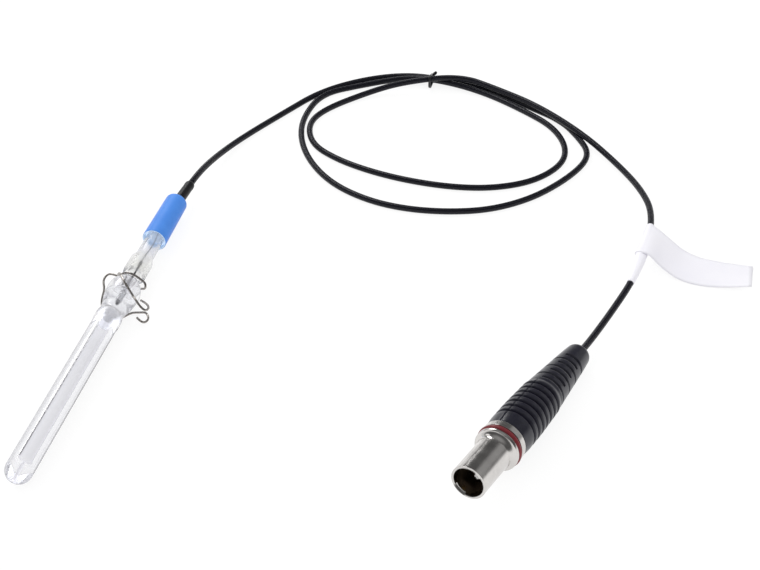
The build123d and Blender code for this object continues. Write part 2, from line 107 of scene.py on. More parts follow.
def lathe(name, profile, turns=112, spot=(0, 0, 0), along=(0, 1, 0), up=(0, 0, 1), marks=None):
    """Surface of revolution: profile point (s, r) goes to spot + s along + r (cos a up + sin a side), where
    side is along x up. The outside of a profile runs towards +s and an inner wall back. A profile of whole
    grids (n, turns, 2) may change round the axis."""
    p = np.asarray(profile, float)
    p = p[:, None] if p.ndim == 2 else p
    a = np.linspace(0, 2 * np.pi, turns, endpoint=False)[:, None]
    ring = np.cos(a) * np.asarray(up) + np.sin(a) * np.cross(along, up)
    grid = np.asarray(spot) + p[..., :1] * np.asarray(along) + p[..., 1:] * ring
    return skin(name, grid, marks)


def stuff(name, **sockets):
    """New material: a Principled shader with the given constants on its own sockets."""
    made = bpy.data.materials.new(name)
    made.use_nodes = True
    shader = made.node_tree.nodes["Principled BSDF"]
    for socket, value in sockets.items():
        shader.inputs[socket.replace("_", " ")].default_value = value
    return made


def knot(material, kind, sockets=None, **settings):
    """Adds one shader node. sockets maps an input's name or number to a constant or to an output."""
    tree = material.node_tree
    made = tree.nodes.new("ShaderNode" + kind)
    for key, value in settings.items():
        setattr(made, key, value)
    for key, value in (sockets or {}).items():
        if isinstance(value, bpy.types.NodeSocket):
            tree.links.new(value, made.inputs[key])
        else:
            made.inputs[key].default_value = value
    return made


def feed(material, **sockets):
    """Links outputs into the material's Principled shader."""
    shader = material.node_tree.nodes["Principled BSDF"]
    for socket, output in sockets.items():
        material.node_tree.links.new(output, shader.inputs[socket.replace("_", " ")])


def ramp(material, value, *stops):
    """Colour ramp over a value, with stops of (place, grey or colour)."""
    made = knot(material, "ValToRGB", {"Fac": value})
    steps = made.color_ramp.elements
    for place, tone in stops[1:-1]:
        steps.new(place)
    for step, (place, tone) in zip(steps, stops):
        step.position = place
        step.color = (*np.broadcast_to(tone, 3), 1)
    return made.outputs["Color"]


def grain(material, scale, detail=2.0):
    """Noise over object coordinates."""
    place = knot(material, "TexCoord").outputs["Object"]
    return knot(material, "TexNoise", {"Vector": place, "Scale": scale, "Detail": detail}).outputs["Fac"]


def relief(material, height, strength, depth):
    """Bump of a height field, its depth in metres."""
    return knot(material, "Bump", {"Height": height, "Strength": strength, "Distance": depth}).outputs["Normal"]


def station(material, low, high):
    """Share of the way along the electrode between two stations in millimetres."""
    place = knot(material, "TexCoord").outputs["Object"]
    along = knot(material, "SeparateXYZ", {"Vector": place}).outputs["Y"]
    span = {"Value": along, "From Min": low / 1000, "From Max": high / 1000}
    return knot(material, "MapRange", span).outputs["Result"]


def facing(material):
    """0 where the surface is seen square on and 1 where it is seen edge on."""
    return knot(material, "LayerWeight", {"Blend": 0.5}).outputs["Facing"]


def blend(material, share, first, second):
    """Mix of two colours by a share, 0 for the first and 1 for the second."""
    return knot(material, "Mix", {"Factor": share, 6: first, 7: second}, data_type="RGBA").outputs[2]


def dress(piece, material, slot, *stands_for):
    """Gives a piece its material and its body, and hides the CAD nodes it stands for. slot is not used."""
    piece.data.materials.clear()
    piece.data.materials.append(material)
    if piece.name not in cad:
        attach(piece, "root")
    if stands_for:
        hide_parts(*stands_for)
    return piece


shaft_r, tip_s, bore_r, bore_end_s = 6.0, -98.0, 2.9, -90.0
collar_r, waist_r, waist_top_r, ball_r, neck_r = 6.25, 5.65, 6.0, 7.9, 4.1
waist_s, ball_s, mouth_s, cone_s = 12.0, 23.5, 30.5, 21.5
mouth_r, cone_end_r, cavity_r = 5.05, 3.2, 6.3
cavity_s, bore_top_s, collar_low_s, collar_high_s, waist_low_s = 18.0, 11.0, 1.0, 6.0, 8.0
mouth_lip, mouth_round, cone_step, grease = 0.45, 0.25, 1.0, 0.03
ball_low_s, ball_top_s = np.linspace(waist_s + 1.5, ball_s, 24), np.linspace(ball_s, mouth_s, 24)[1:]
ball_low = np.c_[ball_low_s, sag(ball_low_s, ball_s, ball_r, waist_s, waist_top_r)]
ball_top = np.c_[ball_top_s, sag(ball_top_s, ball_s, ball_r, mouth_s, mouth_r)]
vessel_outside = soften([(tip_s + shaft_r, shaft_r), (0, shaft_r), (collar_low_s, collar_r),
                         (collar_high_s, collar_r), (waist_low_s, waist_r), (waist_s, waist_top_r), ball_low[0]],
                        [0.8, 0.6, 0.8, 0.9, 0.7])
vessel_mouth = soften([ball_top[-1], (mouth_s + mouth_lip, mouth_r - mouth_round),
                       (mouth_s + mouth_lip, neck_r + mouth_round), (mouth_s - 0.3, neck_r - grease),
                       (cone_s, cone_end_r - grease), (cone_s - cone_step, cavity_r), (cavity_s, cavity_r),
                       (bore_top_s, bore_r), (bore_end_s + bore_r, bore_r)],
                      [0.2, 0.25, 0.2, 0.4, 0.6, 2.0, 2.0])
vessel_profile = np.concatenate([dome(tip_s, shaft_r), vessel_outside[1:-1], ball_low, ball_top, vessel_mouth[1:],
                                 dome(bore_end_s, bore_r)[::-1]])
# Painted light: the glass glows faintly, most round the collar and the waist. Its colour darkens towards its edges as
# painted shade, grey to near black where it is seen edge on.
vessel_glass = stuff("vessel_glass", Transmission_Weight=1.0, IOR=1.474, Emission_Color=(0.92, 0.92, 1.0, 1))
vessel_span, vessel_edge = station(vessel_glass, -100, 40), facing(vessel_glass)
vessel_shaft_tint_edge_shade = ramp(vessel_glass, vessel_edge, (0.0, (0.92, 0.92, 0.94)), (0.24, (0.92, 0.92, 0.94)),
                    (0.36, (0.84, 0.84, 0.87)), (0.5, (0.87, 0.87, 0.9)), (0.72, (0.6, 0.6, 0.63)),
                    (1.0, (0.1, 0.1, 0.11)))
vessel_ball_tint_edge_shade = ramp(vessel_glass, vessel_edge, (0.0, (0.93, 0.93, 0.94)), (0.5, (0.93, 0.93, 0.94)),
                   (0.75, (0.7, 0.7, 0.72)), (1.0, (0.2, 0.2, 0.21)))
vessel_upper = ramp(vessel_glass, vessel_span, (0.69, 0.0), (0.72, 1.0))
feed(vessel_glass, Base_Color=blend(vessel_glass, vessel_upper, vessel_shaft_tint_edge_shade, vessel_ball_tint_edge_shade),
     Emission_Strength=ramp(vessel_glass, vessel_span, (0.7, 0.008), (0.73, 0.034), (0.79, 0.034), (0.83, 0.016)),
     Roughness=ramp(vessel_glass, vessel_span, (0.0, 0.0), (0.71, 0.01), (0.735, 0.22), (0.79, 0.2), (0.83, 0.11),
                    (0.9, 0.12), (1.0, 0.14)))
dress(lathe("bridge_vessel_glass", vessel_profile, 144), vessel_glass, "clear_glass", "bridge_vessel")

# Bridge junction: a porous ceramic pin sealed through the solid end of the vessel, left as the CAD solid.
# It is nearly as pale as the glass round it.
# Painted light: the pin glows, which keeps it as pale as the glass round it.
junction_ceramic = stuff("junction_ceramic", Roughness=0.8, Emission_Color=(0.9, 0.9, 0.95, 1), Emission_Strength=0.6)
junction_pores = grain(junction_ceramic, 6000.0, 4.0)
feed(junction_ceramic, Base_Color=ramp(junction_ceramic, junction_pores, (0.3, (0.9, 0.9, 0.93)),
                                       (0.7, (0.96, 0.96, 0.98))))
dress(cad["bridge_junction"], junction_ceramic, "ceramic")

# Liquid: clear bridge electrolyte that fills the ball and the waist. Its lower end is domed where the air
# in the shaft starts. It wets the glass, so its wall runs a hair within that of the glass.
bubble_s, bubble_r, wet, eye_r = 0.6, 3.3, 0.04, 0.6
bubble_t = np.linspace(0, np.arcsin((bore_r + wet) / bubble_r), 24)
bubble_face = np.c_[bubble_s - bubble_r * (1 - np.cos(bubble_t)), bubble_r * np.sin(bubble_t)]
liquid_profile = np.concatenate([
    bubble_face,
    soften([bubble_face[-1], (bore_top_s, bore_r + wet), (cavity_s, cavity_r + wet),
            (cone_s - cone_step + wet, cavity_r + wet), (cone_s + wet, cone_end_r), (cone_s + wet, eye_r),
            (cone_s + wet, 0.0)], [2.0, 2.0, 0.6, 0.4, 0.2])[1:]])
# Painted light: the liquid glows faintly, and its colour darkens towards its edges as painted shade.
liquid_clear = stuff("bridge_liquid", Transmission_Weight=1.0, IOR=1.34, Emission_Color=(0.92, 0.94, 1.0, 1),
                     Emission_Strength=0.03)
feed(liquid_clear,
     Base_Color=ramp(liquid_clear, facing(liquid_clear), (0.7, (0.985, 0.99, 0.995)), (0.93, (0.85, 0.85, 0.87)),
                     (1.0, (0.5, 0.5, 0.52))),
     Roughness=ramp(liquid_clear, grain(liquid_clear, 300.0), (0.4, 0.0), (0.8, 0.02)))
dress(lathe("bridge_liquid", liquid_profile), liquid_clear, "liquid", "bridge_electrolyte")

# Stem: blown glass tube with a neck, a frosted bulge and a ground cone at its lower end. The bottom of the
# cone is closed round the capillary of the reference element.
stem_r, stem_bore_r, bulge_r, stem_top_s = 4.25, 3.25, 5.55, 79.9
neck_s, bulge_s, shoulder_s, neck_bore_r, cone_floor, capillary_r = 35.0, 47.5, 50.5, 2.0, 2.0, 0.9
stem_profile = soften([(cone_s, capillary_r), (cone_s, cone_end_r), (mouth_s, neck_r), (neck_s - 0.6, neck_r),
                       (neck_s + 1.2, bulge_r), (bulge_s - 0.6, bulge_r), (shoulder_s - 1.4, stem_r + 0.35),
                       (shoulder_s, stem_r), (stem_top_s, stem_r), (stem_top_s, stem_bore_r),
                       (neck_s + 1.6, stem_bore_r), (neck_s - 1.0, neck_bore_r), (cone_s + cone_floor, neck_bore_r),
                       (cone_s + cone_floor, capillary_r), (cone_s, capillary_r)],
                      [0.3, 1.0, 0.9, 1.3, 1.4, 1.0, 0.8, 0.35, 0.35, 1.5, 1.2, 0.4, 0.2])
# Painted light: the stem glows faintly, and its colour turns grey towards its edges as painted shade.
stem_clear = stuff("stem_glass", Transmission_Weight=1.0, IOR=1.474, Specular_Tint=(0.35, 0.35, 0.35, 1),
                   Emission_Color=(0.95, 0.95, 1.0, 1), Emission_Strength=0.012)
stem_span = station(stem_clear, 20, 80)
stem_edge_shade = ramp(stem_clear, facing(stem_clear), (0.5, 0.0), (0.75, 0.3), (1.0, 1.0))
stem_tone = ramp(stem_clear, stem_span, (0.24, (0.93, 0.93, 0.94)), (0.3, (0.89, 0.89, 0.87)),
                 (0.44, (0.89, 0.89, 0.875)), (0.52, (0.91, 0.91, 0.93)))
feed(stem_clear, Base_Color=blend(stem_clear, stem_edge_shade, stem_tone, (0.5, 0.5, 0.52, 1)),
     Roughness=ramp(stem_clear, stem_span, (0.0, 0.1), (0.18, 0.12), (0.24, 0.06), (0.28, 0.25), (0.44, 0.25),
                    (0.5, 0.24), (0.56, 0.22)))
dress(lathe("stem_glass_tube", stem_profile, 128), stem_clear, "clear_glass", "stem_glass")

# Reference element: a thin glass capillary through the cone, closed below by a dark porous tip. A dark coated
# silver wire starts in its top and is soldered to a thin bowed lead.
capillary_bore_r, capillary_s, capillary_top_s = 0.6, 16.0, 29.5
capillary_profile = soften([(capillary_s, capillary_bore_r), (capillary_s, capillary_r),
                            (capillary_top_s, capillary_r), (capillary_top_s, capillary_bore_r),
                            (capillary_s, capillary_bore_r)], 0.12)
# Painted light: the capillary glows where it is seen square on, and its colour darkens to near black towards its
# edges as painted shade.
capillary_glass = stuff("capillary_glass", Transmission_Weight=0.9, IOR=1.45, Emission_Color=(0.95, 0.95, 1.0, 1))
capillary_edge = facing(capillary_glass)
feed(capillary_glass, Emission_Strength=ramp(capillary_glass, capillary_edge, (0.4, 0.1), (0.62, 0.0)),
     Base_Color=ramp(capillary_glass, capillary_edge, (0.55, (0.98, 0.98, 0.99)), (0.75, (0.3, 0.3, 0.31)),
                     (1.0, (0.01, 0.01, 0.012))),
     Roughness=ramp(capillary_glass, grain(capillary_glass, 900.0), (0.3, 0.0), (0.9, 0.05)))
dress(lathe("element_capillary", capillary_profile, 48), capillary_glass, "clear_glass", "element_cartridge")

frit_end_s, frit_end_r, frit_skirt = 12.5, 0.25, 0.6
frit_profile = soften([(frit_end_s, 0), (frit_end_s, frit_end_r), (capillary_s - frit_skirt, capillary_r),
                       (capillary_s, capillary_r), (capillary_s, 0)], 0.2)
frit = stuff("element_frit", Roughness=0.8)
frit_grain = grain(frit, 5000.0, 3.0)
frit_dark = ramp(frit, frit_grain, (0.3, (0.008, 0.008, 0.01)), (0.8, (0.05, 0.05, 0.055)))
frit_upper = ramp(frit, station(frit, frit_end_s, capillary_s), (0.3, 0.0), (0.6, 1.0))
feed(frit, Base_Color=blend(frit, frit_upper, frit_dark, (0.6, 0.6, 0.62, 1)),
     Normal=relief(frit, frit_grain, 0.4, 0.0001))
dress(lathe("element_frit_tip", frit_profile, 40), frit, "dark_frit", "element_tip")

silver_dark = stuff("coated_silver", Metallic=0.6, Roughness=0.5)
feed(silver_dark, Base_Color=ramp(silver_dark, grain(silver_dark, 2500.0, 3.0), (0.3, (0.02, 0.02, 0.022)),
                                  (0.75, (0.09, 0.085, 0.08))))
dress(cad["silver_wire"], silver_dark, "silver")
lead_tin = stuff("tinned_lead", Metallic=0.9, Roughness=0.35)
feed(lead_tin, Base_Color=ramp(lead_tin, grain(lead_tin, 1800.0), (0.3, (0.42, 0.42, 0.43)), (0.7, (0.6, 0.6, 0.6))))
dress(cad["wire_bead"], lead_tin, "tinned_copper")
dress(cad["lead_wire"], lead_tin, "tinned_copper")

# Head cap: blue moulded plastic. Its skirt stands clear of the stem. The light through the skirt is painted light:
# the inside of the mouth is painted paler and glows. A pale ring seals the stem inside it.
cap_s, cap_top_s, skirt_s, cap_mouth_r, cap_top_r, skirt_bore_r = 63.9, 95.7, 72.9, 5.95, 5.5, 5.25
sleeve_hole_r, sleeve_root_s, cap_cavity_r, stem_gap = 2.2, 92.7, 3.45, 0.05
cap_profile = soften([(skirt_s, skirt_bore_r), (cap_s, skirt_bore_r), (cap_s, cap_mouth_r), (cap_top_s, cap_top_r),
                      (cap_top_s, sleeve_hole_r), (sleeve_root_s, sleeve_hole_r), (sleeve_root_s, cap_cavity_r),
                      (stem_top_s, cap_cavity_r), (stem_top_s, stem_r + stem_gap), (skirt_s, stem_r + stem_gap),
                      (skirt_s, skirt_bore_r)], [0.25, 0.25, 1.7, 0.3, 0.1, 0.1, 0.1, 0.1, 0.1])
# Painted light: the inside of the mouth is marked to be painted paler and to glow, standing for light through the
# skirt.
cap_mouth_glow = (cap_profile[:, 0] < skirt_s) & (cap_profile[:, 1] < cap_mouth_r - 0.2)
cap_blue = stuff("cap_blue", Roughness=0.5, Specular_IOR_Level=0.22, Emission_Color=(0.45, 0.62, 0.85, 1))
cap_glow_share = knot(cap_blue, "Attribute", attribute_name="mouth").outputs["Fac"]
cap_cloud = grain(cap_blue, 120.0, 3.0)
cap_tone = ramp(cap_blue, cap_cloud, (0.3, (0.065, 0.25, 0.77)), (0.7, (0.078, 0.28, 0.82)))
# Painted sheen: the blue turns paler towards the edges.
cap_edge_sheen = ramp(cap_blue, facing(cap_blue), (0.55, 0.0), (0.95, 0.8))
cap_outside = blend(cap_blue, cap_edge_sheen, cap_tone, (0.22, 0.34, 0.83, 1))
feed(cap_blue, Base_Color=blend(cap_blue, cap_glow_share, cap_outside, (0.55, 0.7, 0.85, 1)),
     Normal=relief(cap_blue, cap_cloud, 0.04, 0.0003),
     Emission_Strength=ramp(cap_blue, cap_glow_share, (0.0, 0.0), (1.0, 0.45)))
dress(lathe("head_cap_shell", cap_profile, 112, marks={"mouth": cap_mouth_glow}), cap_blue, "blue_plastic", "head_cap")

# Painted light: the pale ring glows, so that it does not fall into the shade in the mouth of the cap.
seal_pale = stuff("seal_pale", Roughness=0.5, Emission_Color=(0.7, 0.82, 0.95, 1), Emission_Strength=0.6)
feed(seal_pale, Base_Color=ramp(seal_pale, grain(seal_pale, 500.0), (0.3, (0.6, 0.73, 0.9)),
                                (0.7, (0.7, 0.81, 0.95))))
dress(cad["head_seal"], seal_pale, "pale_seal")

# Bend sleeve: black rubber sleeve plugged into the top of the cap, a little tapered, its end rounded down
# to the cable. It leans the way the cable pulls it.
sleeve_long, sleeve_plug, sleeve_root_r, sleeve_end_r, cable_r = 16.2, 3.0, 2.65, 2.45, 1.6
sleeve_lean, sleeve_plug_r = np.radians(4), sleeve_hole_r - 0.6
sleeve_way = np.array([np.sin(sleeve_lean), np.cos(sleeve_lean), 0])
sleeve_foot = np.array([0.5, cap_top_s, 0])
sleeve_end = sleeve_foot + sleeve_long * sleeve_way
sleeve_profile = soften([(-sleeve_plug, 0), (-sleeve_plug, sleeve_plug_r), (0, sleeve_plug_r), (0, sleeve_root_r),
                         (sleeve_long - 4.0, sleeve_end_r), (sleeve_long - 2.8, sleeve_end_r + 0.1),
                         (sleeve_long - 1.2, sleeve_end_r), (sleeve_long, cable_r + 0.15), (sleeve_long, 0)],
                        [0.2, 0.2, 0.4, 0.5, 0.5, 0.6, 0.2])
sleeve_black = stuff("sleeve_rubber", Roughness=0.4, Specular_IOR_Level=0.25)
sleeve_grain = grain(sleeve_black, 2200.0)
feed(sleeve_black, Base_Color=ramp(sleeve_black, sleeve_grain, (0.3, (0.005, 0.005, 0.007)),
                                   (0.7, (0.013, 0.013, 0.016))),
     Normal=relief(sleeve_black, sleeve_grain, 0.15, 0.0001))
dress(lathe("bend_sleeve_rubber", sleeve_profile, 64, sleeve_foot, sleeve_way), sleeve_black, "black_rubber",
      "bend_sleeve")

# Joint clip: one length of sprung steel wire. It hooks beside the ball, passes under the waist, stands up beside
# the ball, wraps the neck and comes back over the ball to a second hook, so that it pulls the cone into the socket.
# Its stops give the distance from the axis, the angle from the top and the station, as shares of the ball's radius.


def wire(name, points, radius):
    """Open NURBS curve of order 3 with the points, in millimetres, as its control points, and a round section."""
    curve = bpy.data.curves.new(name, "CURVE")
    curve.dimensions = "3D"
    spline = curve.splines.new("NURBS")
    p = np.asarray(points, float) / 1000
    spline.points.add(len(p) - 1)
    spline.points.foreach_set("co", np.c_[p, np.ones(len(p))].astype(np.float32).ravel())
    spline.order_u = 3
    spline.use_endpoint_u = True
    curve.resolution_u = 12
    curve.bevel_depth = radius / 1000
    curve.bevel_resolution = 5
    curve.use_fill_caps = True
    piece = bpy.data.objects.new(name, curve)
    bpy.context.scene.collection.objects.link(piece)
    return piece


clip_r = 0.54
clip_stops = np.array([
    (1.42, 109, -1.43), (1.89, 106, -1.80), (2.11, 106, -1.30), (1.76, 112, -0.64), (1.40, 125, -0.61),
    (1.09, 146, -0.64), (0.89, 175, -1.56), (0.98, -136, -1.46), (1.16, -112, -0.90), (1.15, -98, -0.52),
    (1.15, -87, -0.08), (1.52, -84, 0.61), (1.41, -80, 1.17), (0.89, -72, 1.07), (0.69, -66, 1.01),
    (0.68, -31, 1.05), (0.67, 2, 1.04), (0.70, 33, 1.01), (0.88, 63, 0.92), (1.09, 79, 0.87),
    (1.11, 93, 0.67), (0.74, 119, 0.96), (0.71, 155, 1.20), (0.75, -145, 1.23), (0.82, -99, 1.19),
    (0.81, -58, 0.99), (1.11, -17, 0.52), (1.16, 13, -0.26), (1.11, 31, -0.52), (1.08, 54, -0.71),
    (1.48, 65, -1.21), (1.74, 74, -1.48), (2.07, 80, -1.63), (2.06, 85, -1.11), (1.65, 89, -0.61),
    (1.20, 96, -0.29)])
clip_angle = np.radians(clip_stops[:, 1])
clip_points = np.c_[ball_r * clip_stops[:, 0] * np.sin(clip_angle), ball_s + ball_r * clip_stops[:, 2],
                    ball_r * clip_stops[:, 0] * np.cos(clip_angle)]
clip_steel = stuff("clip_steel", Metallic=1.0)
clip_draw = grain(clip_steel, 1500.0, 3.0)
feed(clip_steel, Base_Color=ramp(clip_steel, clip_draw, (0.3, (0.3, 0.275, 0.26)), (0.75, (0.56, 0.53, 0.5))),
     Roughness=ramp(clip_steel, clip_draw, (0.3, 0.2), (0.8, 0.34)))
dress(wire("joint_clip_wire", clip_points, clip_r), clip_steel, "spring_steel", "joint_clip")

# Cable: black jacket over a braid whose weave shows through it as fine dots. It leaves the sleeve, runs
# through two loops, crosses over both other strands at the tie and runs on inside the grip of the plug.
table_z = -7.9
plug_tilt, plug_turn = np.arctan(3.2 / 32.1), np.radians(17.4)
plug_flat = np.cos(plug_tilt)
plug_dir = np.array([np.sin(plug_turn) * plug_flat, np.cos(plug_turn) * plug_flat, -np.sin(plug_tilt)])
plug_right = np.array([np.cos(plug_turn), -np.sin(plug_turn), 0])
plug_up = np.cross(plug_right, plug_dir)
ribs_s, ribs_r = 64.2, 9.4
plug_rim = np.array([180.2, -61.1, table_z + ribs_s * np.sin(plug_tilt) + ribs_r * plug_flat])
plug_length, jacket_end, sleeve_lead, plug_lead = 103.8, 46.0, 11.4, 12
cable_stops = np.array([
    (5.6, 147.5, 3.6), (13.0, 169.6, 1.6), (24.9, 192.3, 1.6), (39.0, 219.0, 1.6), (60.6, 237.9, 1.6),
    (84.0, 246.5, 2.7), (106.4, 245.7, 2.7), (127.8, 244.9, 1.6), (150.6, 233.6, 1.6), (173.1, 223.4, 1.6),
    (185.8, 208.0, 1.6), (191.8, 197.0, 1.6), (190.6, 184.5, 1.6), (181.6, 166.3, 1.6), (168.5, 148.8, 1.6),
    (150.9, 135.4, 1.6), (130.8, 128.5, 1.6), (109.8, 125.8, 1.6), (89.7, 128.1, 1.6), (69.3, 136.8, 1.6),
    (53.0, 151.9, 1.6), (41.6, 171.0, 1.6), (36.9, 191.5, 1.6), (40.2, 216.8, 1.6), (58.6, 230.3, 1.6),
    (84.9, 243.6, 3.3), (107.2, 243.3, 3.2), (129.7, 239.0, 1.8), (152.6, 227.4, 1.6), (169.8, 216.1, 1.6),
    (179.8, 199.5, 1.6), (180.2, 182.9, 1.6), (168.9, 165.3, 1.6), (150.4, 154.2, 1.6), (129.8, 149.6, 1.6),
    (106.8, 149.4, 1.6), (85.7, 152.4, 1.6), (65.6, 158.5, 1.6), (48.6, 168.7, 1.6), (41.3, 186.9, 1.6),
    (46.3, 202.8, 1.6), (64.7, 223.8, 1.9), (82.2, 233.7, 5.3), (112.1, 246.1, 6.7), (135.1, 240.0, 5.0),
    (159.3, 229.8, 4.5), (186.8, 209.2, 4.5), (207.5, 189.7, 2.5), (222.5, 167.1, 5.0), (230.9, 145.7, 7.0),
    (231.3, 115.4, 7.0), (227.3, 90.7, 6.5), (221.3, 70.2, 5.0)])
cable_points = np.concatenate([[sleeve_end, sleeve_end + sleeve_way * sleeve_lead], cable_stops + (0, 0, table_z),
                               [plug_rim + plug_dir * (plug_length + plug_lead), plug_rim + plug_dir * plug_length,
                                plug_rim + plug_dir * jacket_end]])


def follow(points):
    """Points along the NURBS line of a route, in millimetres, as a curve with no section gives them."""
    guide = wire("guide", points, 0)
    line = bpy.data.meshes.new_from_object(guide)
    found = np.empty(len(line.vertices) * 3, np.float32)
    line.vertices.foreach_get("co", found)
    bpy.data.objects.remove(guide)
    bpy.data.meshes.remove(line)
    return found.reshape(-1, 3).astype(float) * 1000


def tube(name, line, radius, turns=20, half=None):
    """Tube along a line of points: each ring stands across the line's own direction, its first point upwards.
    It is round, or as wide as twice half at each point. The ends are closed to their middles."""
    way = np.gradient(line, axis=0)
    way /= np.linalg.norm(way, axis=1)[:, None]
    side = np.cross(way, (0, 0, 1))
    side /= np.linalg.norm(side, axis=1)[:, None]
    rise = np.cross(side, way)
    a = np.linspace(0, 2 * np.pi, turns, endpoint=False)[None, :, None]
    wide = np.broadcast_to(radius if half is None else half, len(line))[:, None, None]
    rings = line[:, None] + radius * np.cos(a) * rise[:, None] + wide * np.sin(a) * np.cross(way, rise)[:, None]
    first, last = np.broadcast_to(line[:1, None], (1, turns, 3)), np.broadcast_to(line[-1:, None], (1, turns, 3))
    return skin(name, np.concatenate([first, rings, last]))


cable_line = follow(cable_points)
jacket = stuff("cable_jacket", Roughness=0.27, Specular_IOR_Level=0.2)
jacket_uv = knot(jacket, "TexCoord").outputs["UV"]
jacket_pitch, jacket_strands, jacket_weave = 14.0, 6.0, []
for lean in (1, -1):
    strands = knot(jacket, "Mapping", {"Vector": jacket_uv, "Scale": (jacket_pitch, jacket_strands * lean, 1)})
    parts = knot(jacket, "SeparateXYZ", {"Vector": strands.outputs["Vector"]})
    both = knot(jacket, "Math", {0: parts.outputs["X"], 1: parts.outputs["Y"]}, operation="ADD")
    turn = knot(jacket, "Math", {0: both.outputs[0], 1: 2 * np.pi}, operation="MULTIPLY")
    jacket_weave.append(knot(jacket, "Math", {0: turn.outputs[0]}, operation="SINE").outputs[0])
jacket_dots = knot(jacket, "Math", {0: jacket_weave[0], 1: jacket_weave[1]}, operation="MULTIPLY").outputs[0]
feed(jacket, Base_Color=ramp(jacket, jacket_dots, (0.0, (0.004, 0.004, 0.007)), (0.6, (0.012, 0.012, 0.02)),
                             (1.0, (0.06, 0.06, 0.08))),
     Normal=relief(jacket, jacket_dots, 0.4, 0.0001))
cable = dress(tube("cable_jacket", cable_line, cable_r), jacket, "black_jacket", "cable")

# Cable tie: a plastic covered wire wound twice round the three strands, with a little slack on the near side,
# its ends twisted together.
tie_r, tie_turn, tie_slack = 0.5, np.radians(3), (-4.2, 3.8)
tie_reach, tie_air, tie_start = 12, 0.1, np.radians(60)
upward = np.array((0, 0, 1))
tie_way = np.array([np.cos(tie_turn), np.sin(tie_turn), 0])
tie_across = np.array([-tie_way[1], tie_way[0], 0])
tie_spot = np.array([96.8, 243.0, table_z])
tie_run = (cable_line - tie_spot) @ tie_way
tie_off = (cable_line - tie_spot) @ tie_across
tie_hit = np.flatnonzero((tie_run[:-1] * tie_run[1:] <= 0) & (np.abs(tie_off[:-1]) < tie_reach))
tie_strands = np.r_[np.c_[tie_off, cable_line[:, 2] - table_z][tie_hit], [tie_slack]]
tie_t = tie_start + np.linspace(0, 4 * np.pi, 49)
tie_out = np.c_[np.cos(tie_t), np.sin(tie_t)]
tie_hull = tie_strands[(tie_out @ tie_strands.T).argmax(1)] + (cable_r + tie_r + tie_air) * tie_out
tie_pitch = np.linspace(-0.5, 0.5, len(tie_t))[:, None]
tie_loop = tie_spot + tie_hull[:, :1] * tie_across + tie_hull[:, 1:] * upward + tie_pitch * tie_way
tie_black = stuff("tie_black", Roughness=0.3)
feed(tie_black, Base_Color=ramp(tie_black, grain(tie_black, 1500.0), (0.3, (0.006, 0.006, 0.008)),
                                (0.7, (0.015, 0.015, 0.018))))
tie = dress(wire("cable_tie_loop", tie_loop, tie_r), tie_black, "black_plastic", "cable_tie")
nub_t = np.linspace(0, 1, 30)[:, None]
nub_turn, nub_twist, nub_r = nub_t * 3 * np.pi, 0.45, 1.2 * tie_r
nub_way = 1.3 * tie_way + 0.6 * tie_across + np.array((0, 0, 0.8))
for end_name, start in (("cable_tie_end_a", 0), ("cable_tie_end_b", np.pi)):
    nub_off = np.cos(nub_turn + start) * tie_across + np.sin(nub_turn + start) * upward
    nub = tie_loop[-1] + nub_t * nub_way + nub_twist * nub_off
    dress(tube(end_name, nub, nub_r, 10), tie_black, "black_plastic")

# Labels: white plastic film. The tag is wrapped round the cable and stuck to itself as a flag that droops to
# the table; the strip below it is a flat sleeve round the cable. Both are bare.
film_thick, wrap_r, label_x, label_y = 0.24, 1.8, 200, 160
tag_far = follow(np.array([
    (228.8, 134.2, 7.0), (230.6, 134.0, 9.0), (234.4, 132.4, 8.2), (241.0, 129.6, 5.2), (249.5, 126.4, 0.8),
    (262.0, 122.8, 0.4), (282.1, 123.8, 0.4)]) + (0, 0, table_z))
tag_near = follow(np.array([
    (226.3, 111.2, 7.0), (228.8, 110.8, 9.0), (233.0, 110.0, 8.8), (239.6, 107.6, 3.8), (250.4, 103.3, 0.4),
    (267.1, 103.0, 0.4), (282.2, 104.2, 4.0)]) + (0, 0, table_z))


def film(name, far, near, thick, columns=13):
    """Closed thin sheet ruled between two edge lines: its section runs over the top from the far to the near
    edge and back below, and the first and the last section are folded to their middle."""
    share = np.linspace(0, 1, columns)[None, :, None]
    sheet = far[:, None] * (1 - share) + near[:, None] * share
    across = np.cross(np.gradient(sheet, axis=1), np.gradient(sheet, axis=0))
    across *= thick / 2 / np.linalg.norm(across, axis=2)[..., None]
    across *= np.sign(across[..., 2:].mean())
    ring = np.concatenate([sheet + across, (sheet - across)[:, ::-1]], 1)
    fold = np.concatenate([sheet, sheet[:, ::-1]], 1)
    return skin(name, np.concatenate([fold[:1], ring, fold[-1:]])[::-1])


def sheath(name, far_y, near_y, far_half, near_half, high):
    """Flat sleeve of film round the last stretch of the cable between two places along y, in millimetres. Its
    half-width runs from far_half to near_half, its half-height is high and its right edge keeps to the cable."""
    stretch = cable_line[(cable_line[:, 0] > label_x) & (cable_line[:, 1] < label_y)]
    y, half = np.linspace(far_y, near_y, 40), np.linspace(far_half, near_half, 40)
    line = np.stack([np.interp(-y, -stretch[:, 1], stretch[:, axis]) for axis in range(3)], 1)
    line[:, 0] -= half - wrap_r
    return tube(name, line, high, 32, half)


